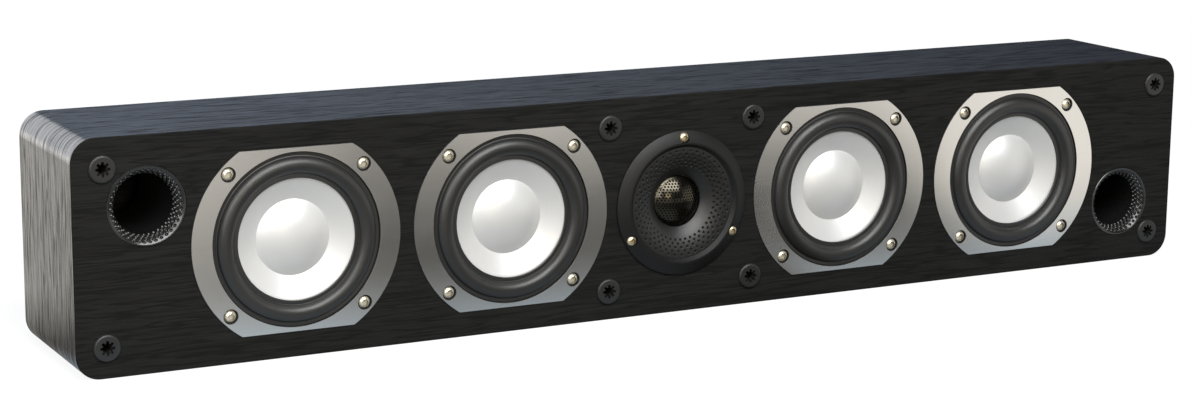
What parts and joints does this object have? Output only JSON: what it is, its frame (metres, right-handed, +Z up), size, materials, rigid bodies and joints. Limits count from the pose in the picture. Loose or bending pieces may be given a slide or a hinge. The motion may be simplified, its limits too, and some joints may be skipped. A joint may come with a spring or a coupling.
{
  "type": "on-wall speaker",
  "caption": "Long shallow wall speaker with a horn tweeter between woofers with brushed trim plates, flared bass ports, grille sockets and screw terminals at the back.",
  "frame": {"origin": "centre of the cabinet's bottom face", "axes": "+X along the length, to the right of someone facing the front; the front faces -Y; +Z up"},
  "size_m": [0.673, 0.0924, 0.12],
  "materials": {
    "black_ash": "satin",
    "back_board": "matt",
    "raw_board": "matt",
    "brushed_trim": "brushed",
    "basket_paint": "satin",
    "surround_rubber": "matt",
    "cone_metal": "satin",
    "dome_cloth": "matt",
    "coil_former": "satin",
    "spider_cloth": "matt",
    "motor_steel": "zinc plated",
    "ferrite": "matt",
    "screw_brass": "satin",
    "horn_black": "satin",
    "guard_mesh": "satin",
    "port_black": "gloss",
    "socket_black": "satin",
    "post_gold": "polished",
    "cap_red": "gloss",
    "cap_black": "gloss",
    "zinc_plate": "zinc plated",
    "screw_black": "satin",
    "circuit_board": "satin",
    "copper_wire": "enamelled",
    "capacitor_film": "satin",
    "resistor_ceramic": "matt"
  },
  "bodies": {
    "cabinet": {"cabinet_shell": "black_ash", "front_baffle": "black_ash", "back_panel": "back_board", "divider_left": "raw_board", "divider_right": "raw_board", "woofer_1_trim": "brushed_trim", "woofer_1_basket": "basket_paint", "woofer_1_surround": "surround_rubber", "woofer_1_spider": "spider_cloth", "woofer_2_trim": "brushed_trim", "woofer_2_basket": "basket_paint", "woofer_2_surround": "surround_rubber", "woofer_2_spider": "spider_cloth", "woofer_3_trim": "brushed_trim", "woofer_3_basket": "basket_paint", "woofer_3_surround": "surround_rubber", "woofer_3_spider": "spider_cloth", "woofer_4_trim": "brushed_trim", "woofer_4_basket": "basket_paint", "woofer_4_surround": "surround_rubber", "woofer_4_spider": "spider_cloth", "woofer_top_plates": "motor_steel", "woofer_magnets": "ferrite", "woofer_yokes": "motor_steel", "woofer_screws": "screw_brass", "tweeter_ring": "horn_black", "tweeter_horn": "horn_black", "tweeter_mesh": "guard_mesh", "tweeter_suspension": "spider_cloth", "tweeter_top_plate": "motor_steel", "tweeter_magnet": "ferrite", "tweeter_yoke": "motor_steel", "tweeter_screws": "screw_brass", "port_left": "port_black", "port_right": "port_black", "grille_sockets": "socket_black", "terminal_cup": "socket_black", "binding_posts": "post_gold", "keyhole_plates": "zinc_plate", "panel_screws": "screw_black", "crossover_board": "circuit_board", "inductors": "copper_wire", "capacitors": "capacitor_film", "resistors": "resistor_ceramic"},
    "woofer_1_moving": {"woofer_1_cone": "cone_metal", "woofer_1_dust_cap": "cone_metal", "woofer_1_voice_coil": "coil_former"},
    "woofer_2_moving": {"woofer_2_cone": "cone_metal", "woofer_2_dust_cap": "cone_metal", "woofer_2_voice_coil": "coil_former"},
    "woofer_3_moving": {"woofer_3_cone": "cone_metal", "woofer_3_dust_cap": "cone_metal", "woofer_3_voice_coil": "coil_former"},
    "woofer_4_moving": {"woofer_4_cone": "cone_metal", "woofer_4_dust_cap": "cone_metal", "woofer_4_voice_coil": "coil_former"},
    "tweeter_moving": {"tweeter_dome": "dome_cloth", "tweeter_voice_coil": "coil_former"},
    "red_cap": {"terminal_cap_red": "cap_red"},
    "black_cap": {"terminal_cap_black": "cap_black"}
  },
  "joints": [
    {"name": "woofer_1_stroke", "type": "slide", "parent": "cabinet", "child": "woofer_1_moving", "axis": [0, -1, 0], "range_m": [-0.003, 0.003], "stiffness_N_per_m": 1200, "deforming": ["woofer_1_surround", "woofer_1_spider"]},
    {"name": "woofer_2_stroke", "type": "slide", "parent": "cabinet", "child": "woofer_2_moving", "axis": [0, -1, 0], "range_m": [-0.003, 0.003], "stiffness_N_per_m": 1200, "deforming": ["woofer_2_surround", "woofer_2_spider"]},
    {"name": "woofer_3_stroke", "type": "slide", "parent": "cabinet", "child": "woofer_3_moving", "axis": [0, -1, 0], "range_m": [-0.003, 0.003], "stiffness_N_per_m": 1200, "deforming": ["woofer_3_surround", "woofer_3_spider"]},
    {"name": "woofer_4_stroke", "type": "slide", "parent": "cabinet", "child": "woofer_4_moving", "axis": [0, -1, 0], "range_m": [-0.003, 0.003], "stiffness_N_per_m": 1200, "deforming": ["woofer_4_surround", "woofer_4_spider"]},
    {"name": "tweeter_stroke", "type": "slide", "parent": "cabinet", "child": "tweeter_moving", "axis": [0, -1, 0], "range_m": [-0.0003, 0.0003], "stiffness_N_per_m": 2000, "deforming": ["tweeter_suspension"]},
    {"name": "red_cap_turn", "type": "hinge", "parent": "cabinet", "child": "red_cap", "pos_m": [-0.0095, 0.03, 0.06], "axis": [0, 1, 0], "range_deg": [0, 720]},
    {"name": "black_cap_turn", "type": "hinge", "parent": "cabinet", "child": "black_cap", "pos_m": [0.0095, 0.03, 0.06], "axis": [0, 1, 0], "range_deg": [0, 720]}
  ]
}
